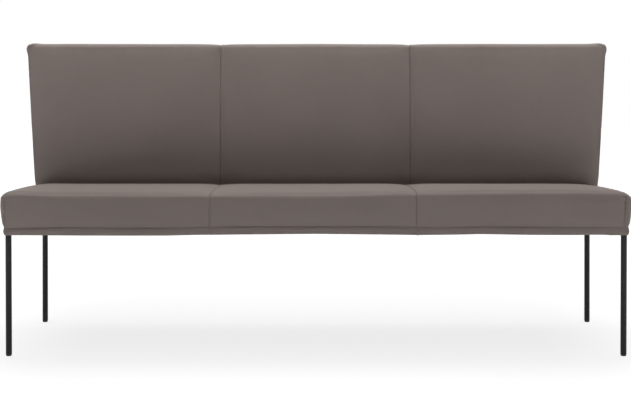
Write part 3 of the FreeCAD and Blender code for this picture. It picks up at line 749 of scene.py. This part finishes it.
def stitch_line(grid, across, rows, first, last):
    """Places and directions of the stitches along one seam of a panel."""
    column = int(np.argmin(np.abs(across - stitch_offset)))
    line, out = grid[:, column], normals(grid)[:, column]
    length = np.concatenate([[0.0], np.cumsum(np.linalg.norm(np.diff(line, axis=0), axis=1))])
    keep = (rows >= first) & (rows <= last)
    spots = np.arange(length[keep][0], length[keep][-1], stitch_pitch)
    middle = np.stack([np.interp(spots, length, line[:, axis]) for axis in range(3)], 1)
    ahead = np.stack([np.interp(spots + 1.5, length, line[:, axis]) for axis in range(3)], 1) - middle
    up = np.stack([np.interp(spots, length, out[:, axis]) for axis in range(3)], 1)
    return middle, ahead / np.linalg.norm(ahead, axis=1, keepdims=True), up


def stitches(name, lines, reach=stitch_length, radius=thread):
    """One object with every stitch of the given seams."""
    half = [(0.2, 1.0, 0.25), (0.42, 0.75, -0.1), (0.5, 0.25, -0.5)]
    rings = [(-along, width, height) for along, width, height in half[::-1]] + half
    sides = 6
    verts, faces = [], []
    for middle, ahead, up in lines:
        for centre, forward, out in zip(middle, ahead, up):
            side = np.cross(forward, out)
            base = len(verts)
            for along, width, height in rings:
                core = centre + along * reach * forward + (height * radius) * out
                for angle in np.arange(sides) * 2 * math.pi / sides:
                    round_part = radius * width * (math.cos(angle) * side + math.sin(angle) * out)
                    verts.append((core + round_part) / 1000)
            for ring in range(len(rings) - 1):
                for n in range(sides):
                    a, b = base + ring * sides + n, base + ring * sides + (n + 1) % sides
                    faces.append((a, a + sides, b + sides, b))
            faces.append(tuple(base + n for n in range(sides)))
            last = base + (len(rings) - 1) * sides
            faces.append(tuple(last + n for n in reversed(range(sides))))
    return new_object(name, [tuple(v) for v in verts], faces)


seat_lines, back_lines = [], []
for side in ("centre", "right"):
    grid, across, rows, length = seat_grids[side]
    seat_lines.append(stitch_line(grid, across, rows, length[seat_rows["lip"]], length[seat_rows["tail"]]))
    grid, across, rows, length = back_grids[side]
    back_lines.append(stitch_line(grid, across, rows, length[2], length[back_rows["hem"]]))
stitch_pieces = [stitches("seat_stitches", seat_lines), stitches("back_stitches", back_lines)]
for piece in stitch_pieces:
    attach(piece, "root")
    print(piece.name, len(piece.data.polygons), "faces")

# %% [markdown]
# ## Under the seat
#
# A thin black cloth hides the springs. It is stapled to the plywood all round, leaves the leg plates
# free and hangs through a little between the staples.

# %% Dust cover
play, cloth_step, deepest_sag = 1.0, 12.0, 3.0
cloth_low, cloth_high = (np.array(corner) * 1000 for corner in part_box("dust_cover"))
plate_gaps = []
for row in ("front", "rear"):
    for side in ("left", "right"):
        low, high = (np.array(corner) * 1000 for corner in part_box("leg_plate_%s_%s" % (row, side)))
        plate_gaps.append((low - play, high + play))


def lines_with(low, high, step, extra):
    """Grid lines from low to high that also run through the extra places."""
    places = list(np.linspace(low, high, int((high - low) / step) + 1))
    places = sorted(places + [v for v in extra if low < v < high])
    return np.array([places[0]] + [b for a, b in zip(places, places[1:]) if b - a > 0.5])


cloth_x, cloth_y = (lines_with(cloth_low[axis], cloth_high[axis], cloth_step,
                               [corner[axis] for gap in plate_gaps for corner in gap]) for axis in (0, 1))
gx, gy = np.meshgrid(cloth_x[::-1], cloth_y)
inset = np.minimum.reduce([gx - cloth_low[0], cloth_high[0] - gx, gy - cloth_low[1], cloth_high[1] - gy])
sag = deepest_sag * ramp(15, 170, inset) + 0.35 * wave(gx, gy, 90.0, 3.0) * ramp(8, 40, inset)
cloth_grid = np.stack([gx, gy, cloth_low[2] - sag], 2)
centre_x, centre_y = (gx[:-1, :-1] + gx[1:, 1:]) / 2, (gy[:-1, :-1] + gy[1:, 1:]) / 2
keep = np.ones(centre_x.shape, bool)
for low, high in plate_gaps:
    beside = (centre_x <= low[0]) | (centre_x >= high[0])
    keep &= beside | (centre_y <= low[1]) | (centre_y >= high[1])
dust_cloth = sheet("dust_cloth", cloth_grid, 0.5, keep)
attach(dust_cloth, "root")
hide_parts("dust_cover")

edge, staple_pitch, staple_length, staple_radius = 9.0, 55.0, 10.0, 0.5
row_half, column_front, column_rear = 830.0, -200.0, 150.0
left, front = cloth_low[:2] + edge
right, rear = cloth_high[:2] - edge
staple_lines = []
for x0, y0, x1, y1 in ((-row_half, front, row_half, front), (-row_half, rear, row_half, rear),
                       (left, column_front, left, column_rear),
                       (right, column_front, right, column_rear)):
    run = math.hypot(x1 - x0, y1 - y0)
    count = int(run / staple_pitch)
    spots = np.linspace((x0, y0, cloth_low[2] + 0.1), (x1, y1, cloth_low[2] + 0.1), count)
    ahead = np.tile([[x1 - x0, y1 - y0, 0.0]], (count, 1)) / run
    staple_lines.append((spots, ahead, np.tile([[0.0, 0.0, -1.0]], (count, 1))))
staples = stitches("cloth_staples", staple_lines, staple_length, staple_radius)
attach(staples, "root")
print("dust cloth:", len(dust_cloth.data.polygons), "faces, staples:", len(staples.data.polygons))

# %% [markdown]
# ## Foam
#
# The foam is hidden, but it is there: each block is copied from the frame's solid and cut finer. Where
# the leather comes near, at the seams and in the crease, it presses the foam back, so each point of the
# foam stays a few millimetres under the nearest point of the leather.

# %% Foam blocks
press, longest = 0.008, 0.03  # metres
halvings = 6


def cover_tree(start):
    """A search tree over the outer faces of the leather whose names begin with start, without folds."""
    points, faces = [], []
    for piece in leather_pieces:
        if not piece.name.startswith(start):
            continue
        first = len(points)
        points += [v.co.copy() for v in piece.data.vertices]
        outer = sum(p.use_smooth for p in piece.data.polygons) // 2
        wide = cells_across[piece.name]
        end = "_end_" in piece.name
        steepest = 2.0 if end else 0.8
        for number, face in enumerate(piece.data.polygons[:outer]):
            folded = number % wide in (0, wide - 1) or (end and number >= outer - wide)
            if not folded and abs(face.normal.x) < steepest:
                faces.append([first + n for n in face.vertices])
    return mathutils.bvhtree.BVHTree.FromPolygons(points, faces)


def pressed(place, cover):
    """A place in the foam, moved inwards if the leather needs the room, at a corner more than once."""
    for _ in range(4):
        near, facing, _, _ = cover.find_nearest(place)
        if (near - place).dot(facing) >= press:
            break
        place = near - facing * press
    return place


covers = {"seat": cover_tree("seat"), "back": cover_tree("back")}
foam_pieces = []
for entry in frame["record"]["subparts"]:
    if entry["material_slot"] != "foam":
        continue
    work = bmesh.new()
    work.from_mesh(nodes[entry["node"]].data)
    bmesh.ops.remove_doubles(work, verts=work.verts, dist=1e-6)
    for _ in range(halvings):
        coarse = [e for e in work.edges if e.calc_length() > longest]
        bmesh.ops.subdivide_edges(work, edges=coarse, cuts=1)
    for vert in work.verts:
        vert.co = pressed(vert.co, covers[entry["node"][:4]])
    mesh = bpy.data.meshes.new("foam_" + entry["node"])
    work.to_mesh(mesh)
    work.free()
    block = bpy.data.objects.new(mesh.name, mesh)
    bpy.context.scene.collection.objects.link(block)
    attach(block, "root")
    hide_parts(entry["node"])
    foam_pieces.append(block)
    print(block.name, len(mesh.polygons), "faces")

# %% [markdown]
# ## Finishes
#
# Every finish is built from one recipe: layers of a procedural texture are added up, once into a tone
# that mixes a light and a dark colour, and once into a height for the bump. The recipe is a node group,
# so that leather, paint, wood, steel, cloth and foam differ only in their layers and colours. The
# textures use the object's own coordinates, in metres, so a scale of 1000 means about a millimetre.

# %% A recipe for finishes
def add(tree, kind, inputs=(), **settings):
    """Adds a node. An input is given as a value, or as a socket to link from."""
    node = tree.nodes.new(kind)
    for key, value in settings.items():
        setattr(node, key, value)
    for key, value in dict(inputs).items():
        if isinstance(value, bpy.types.NodeSocket):
            tree.links.new(value, node.inputs[key])
        else:
            node.inputs[key].default_value = value
    return node


def surface_group(name, rough, *layers):
    """A node group: layers are (texture, scale in x y z, share of the tone, share of the height)."""
    tree = bpy.data.node_groups.new(name, "ShaderNodeTree")
    for label in ("Light", "Dark"):
        tree.interface.new_socket(label, in_out="INPUT", socket_type="NodeSocketColor")
    for label, kind in (("Colour", "Color"), ("Roughness", "Float"), ("Height", "Float")):
        tree.interface.new_socket(label, in_out="OUTPUT", socket_type="NodeSocket" + kind)
    given = tree.nodes.new("NodeGroupInput")
    result = tree.nodes.new("NodeGroupOutput")
    place = add(tree, "ShaderNodeTexCoord").outputs["Object"]
    tone = height = None
    for texture, scale, tone_share, height_share in layers:
        at = add(tree, "ShaderNodeMapping", {"Vector": place, "Scale": scale}).outputs["Vector"]
        sample = {"Vector": at, "Scale": 1.0}
        if texture == "noise":
            value = add(tree, "ShaderNodeTexNoise", {**sample, "Detail": 4.0}).outputs["Fac"]
        elif texture == "cells":
            edges = add(tree, "ShaderNodeTexVoronoi", sample, feature="DISTANCE_TO_EDGE").outputs["Distance"]
            value = add(tree, "ShaderNodeMapRange", {"Value": edges, "From Max": 0.35}).outputs["Result"]
        else:
            value = add(tree, "ShaderNodeTexWave", {**sample, "Distortion": 0.6}).outputs["Fac"]
        for kind, share in (("tone", tone_share), ("height", height_share)):
            if share:
                before = tone if kind == "tone" else height
                terms = {0: value, 1: share, 2: before if before else 0.0}
                step = add(tree, "ShaderNodeMath", terms, operation="MULTIPLY_ADD")
                if kind == "tone":
                    tone = step.outputs[0]
                else:
                    height = step.outputs[0]
    pair = {0: tone, 6: given.outputs["Dark"], 7: given.outputs["Light"]}
    colour = add(tree, "ShaderNodeMix", pair, data_type="RGBA")
    roughness = add(tree, "ShaderNodeMapRange", {"Value": tone, "To Min": rough[1], "To Max": rough[0]})
    tree.links.new(colour.outputs[2], result.inputs["Colour"])
    tree.links.new(roughness.outputs["Result"], result.inputs["Roughness"])
    tree.links.new(height, result.inputs["Height"])
    return tree


def material(name, group, light, dark, bump, depth, metallic=0.0, shine=0.5):
    """A finish: a recipe, its two colours, the strength of its bump and the depth of that in metres."""
    made = bpy.data.materials.new(name)
    made.use_nodes = True
    tree = made.node_tree
    shader = tree.nodes["Principled BSDF"]
    shader.inputs["Metallic"].default_value = metallic
    shader.inputs["Specular IOR Level"].default_value = shine
    effect = add(tree, "ShaderNodeGroup", node_tree=groups[group])
    effect.inputs["Light"].default_value = light + (1.0,)
    effect.inputs["Dark"].default_value = dark + (1.0,)
    height = effect.outputs["Height"]
    relief = add(tree, "ShaderNodeBump", {"Height": height, "Strength": bump, "Distance": depth})
    tree.links.new(effect.outputs["Colour"], shader.inputs["Base Color"])
    tree.links.new(effect.outputs["Roughness"], shader.inputs["Roughness"])
    tree.links.new(relief.outputs["Normal"], shader.inputs["Normal"])
    made.diffuse_color = light + (1.0,)
    return made


def even(scale):
    return (scale, scale, scale)


# %% The finishes
groups = {
    "leather": surface_group("leather_grain", (0.58, 0.7),
                             ("cells", even(820), 0.16, 1.0), ("noise", even(2300), 0.12, 0.35),
                             ("noise", even(42), 0.22, 0.4), ("noise", even(5), 0.5, 0.0)),
    "paint": surface_group("powder_coat", (0.36, 0.48),
                           ("noise", even(900), 0.4, 1.0), ("noise", even(60), 0.6, 0.2)),
    "steel": surface_group("worked_steel", (0.28, 0.5),
                           ("noise", (40, 900, 900), 0.6, 1.0), ("noise", even(30), 0.4, 0.0)),
    "plastic": surface_group("moulded_plastic", (0.5, 0.65),
                             ("noise", even(1600), 0.5, 1.0), ("noise", even(90), 0.5, 0.0)),
    "wood": surface_group("ply_grain", (0.55, 0.75), ("noise", (9, 160, 160), 0.6, 0.6),
                          ("bands", (0, 0, 210), 0.25, 0.2), ("noise", even(30), 0.25, 0.0)),
    "board": surface_group("pressed_board", (0.6, 0.8),
                           ("noise", even(500), 0.5, 1.0), ("noise", even(120), 0.5, 0.3)),
    "foam": surface_group("foam_cells", (0.85, 0.95),
                          ("cells", even(700), 0.6, 1.0), ("noise", even(20), 0.4, 0.0)),
    "felt": surface_group("felt_fibres", (0.9, 0.98),
                          ("noise", (300, 1200, 1200), 0.5, 1.0), ("noise", (1200, 300, 1200), 0.5, 1.0)),
    "weave": surface_group("woven_band", (0.75, 0.9), ("bands", (520, 0, 0), 0.45, 1.0),
                           ("bands", (0, 0, 420), 0.45, 0.8), ("noise", even(900), 0.1, 0.2)),
    "cloth": surface_group("bonded_cloth", (0.8, 0.95),
                           ("cells", even(600), 0.5, 1.0), ("noise", even(1500), 0.5, 0.5)),
}
taupe_light, taupe_dark = (0.262, 0.222, 0.205), (0.196, 0.163, 0.150)
finishes = {
    "taupe_leather": material("taupe_leather", "leather", taupe_light, taupe_dark, 0.35, 0.00035, shine=0.1),
    "black_steel": material("black_paint", "paint", even(0.016), even(0.009), 0.12, 0.0003, shine=0.23),
    "zinc_steel": material("zinc_plate", "steel", (0.62, 0.61, 0.58), (0.40, 0.40, 0.39), 0.08, 0.0002, 1.0),
    "spring_steel": material("spring_wire", "steel", (0.3, 0.3, 0.31), (0.16, 0.16, 0.17), 0.1, 0.0002, 1.0),
    "black_plastic": material("glide_plastic", "plastic", even(0.022), even(0.012), 0.15, 0.0003),
    "plywood": material("birch_plywood", "wood", (0.62, 0.46, 0.30), (0.44, 0.29, 0.16), 0.25, 0.0004),
    "hardboard": material("pressed_board", "board", (0.28, 0.17, 0.10), (0.17, 0.095, 0.05), 0.3, 0.0004),
    "foam": material("cut_foam", "foam", (0.80, 0.76, 0.62), (0.60, 0.55, 0.40), 0.6, 0.0008),
    "grey_felt": material("needled_felt", "felt", (0.36, 0.36, 0.37), (0.22, 0.22, 0.23), 0.6, 0.0008),
    "elastic_webbing": material("elastic_webbing", "weave", even(0.07), even(0.02), 0.5, 0.0006),
    "dust_cloth": material("dust_cloth", "cloth", (0.035, 0.035, 0.036), even(0.012), 0.4, 0.0005),
}
thread_finish = material("sewing_thread", "felt", (0.25, 0.21, 0.19), (0.17, 0.14, 0.125), 0.4, 0.0003)


def dress(obj, finish):
    obj.data.materials.clear()
    obj.data.materials.append(finish)


for entry in frame["record"]["subparts"]:
    dress(nodes[entry["node"]], finishes[entry["material_slot"]])
for piece in leather_pieces:
    dress(piece, finishes["taupe_leather"])
for piece in foam_pieces:
    dress(piece, finishes["foam"])
for piece in stitch_pieces:
    dress(piece, thread_finish)
dress(dust_cloth, finishes["dust_cloth"])
dress(staples, finishes["zinc_steel"])
print("finishes:", sorted(finishes))

# %% [markdown]
# ## Floor, light and camera
#
# A white studio: a wide pale floor and soft boxes that all shine straight down. Two hang above the bench
# and light the top of the seat. The others have a grid that keeps their light narrow, so they only light
# the floor in front and at the sides, and the floor sends that light up to the bench: the upright faces
# are lit from below, and the foot of the backrest, which sees only the seat, falls into shade. Where the
# camera sees the floor, itself or mirrored in metal, it is lifted towards white, as in a catalogue
# picture, but it keeps a shadow.

# %% Floor
def backdrop_ray(tree):
    """1 for a ray that shows the backdrop, straight from the camera or by way of a shiny surface."""
    path = add(tree, "ShaderNodeLightPath")
    seen = path.outputs["Is Camera Ray"]
    for kind in ("Is Glossy Ray", "Is Transmission Ray"):
        seen = add(tree, "ShaderNodeMath", {0: seen, 1: path.outputs[kind]}, operation="MAXIMUM").outputs[0]
    return seen


floor_half, floor_sink = 14.0, 0.0005  # metres
corners = [(-1, -1), (1, -1), (1, 1), (-1, 1)]
corners = [(a * floor_half, b * floor_half, -floor_sink) for a, b in corners]
floor = new_object("studio_floor", corners, [(0, 1, 2, 3)])
paper = bpy.data.materials.new("white_paper")
paper.use_nodes = True
tree = paper.node_tree
shader = tree.nodes["Principled BSDF"]
shader.inputs["Roughness"].default_value = 0.9
shader.inputs["Emission Color"].default_value = (1, 1, 1, 1)
seen = backdrop_ray(tree)
lit, shown = even(0.86) + (1,), even(0.23) + (1,)
grey = add(tree, "ShaderNodeMix", {0: seen, 6: lit, 7: shown}, data_type="RGBA")
place = add(tree, "ShaderNodeTexCoord").outputs["Object"]
away = add(tree, "ShaderNodeVectorMath", {0: place}, operation="LENGTH").outputs["Value"]
near, far, dimmest = 0.9, 2.6, 0.8  # metres, metres and a strength
fade = {"Value": away, "From Min": near, "From Max": far, "To Min": dimmest}
whiter = add(tree, "ShaderNodeMapRange", fade)
glow = add(tree, "ShaderNodeMath", {0: seen, 1: whiter.outputs["Result"]}, operation="MULTIPLY")
tree.links.new(grey.outputs[2], shader.inputs["Base Color"])
tree.links.new(glow.outputs[0], shader.inputs["Emission Strength"])
dress(floor, paper)
print("floor:", 2 * floor_half, "m across")

# %% Light
def soft_box(name, place, size, power, spread=180):
    """A soft box that shines straight down, its place and size in metres."""
    lamp = bpy.data.lights.new(name, "AREA")
    lamp.shape = "RECTANGLE"
    lamp.size, lamp.size_y = size
    lamp.energy = power
    lamp.spread = math.radians(spread)
    obj = bpy.data.objects.new(name, lamp)
    obj.location = place
    bpy.context.scene.collection.objects.link(obj)
    print(name, power, "W")


soft_box("above_bench", (0, 0.4, 2.1), (3.8, 1.2), 41)
soft_box("above_front", (0, -0.9, 2.4), (3.4, 1.2), 13)
soft_box("floor_front", (0, -3.4, 2.2), (4.8, 4.2), 156, 60)
soft_box("floor_left", (-2.8, -0.3, 2.2), (1.6, 2.4), 55, 60)
soft_box("floor_right", (2.8, -0.3, 2.2), (1.6, 2.4), 55, 60)
world = bpy.data.worlds.new("studio")
bpy.context.scene.world = world
world.use_nodes = True
tree = world.node_tree
backdrop = tree.nodes["Background"]
seen = backdrop_ray(tree)
level = add(tree, "ShaderNodeMapRange", {"Value": seen, "To Min": 0.02, "To Max": 1.0})
tree.links.new(level.outputs["Result"], backdrop.inputs["Strength"])
backdrop.inputs["Color"].default_value = (1, 1, 1, 1)

# %% Camera
camera = bpy.data.cameras.new("camera")
camera.sensor_width = 36.0
camera.lens = 70.57
viewer = bpy.data.objects.new("camera", camera)
viewer.location = (-0.002, -3.871, 0.844)  # metres
viewer.rotation_euler = (math.radians(83.96), 0, 0)
bpy.context.scene.collection.objects.link(viewer)
bpy.context.scene.camera = viewer
bpy.context.scene.view_settings.view_transform = "Standard"
print("camera: a lens of", camera.lens, "mm")
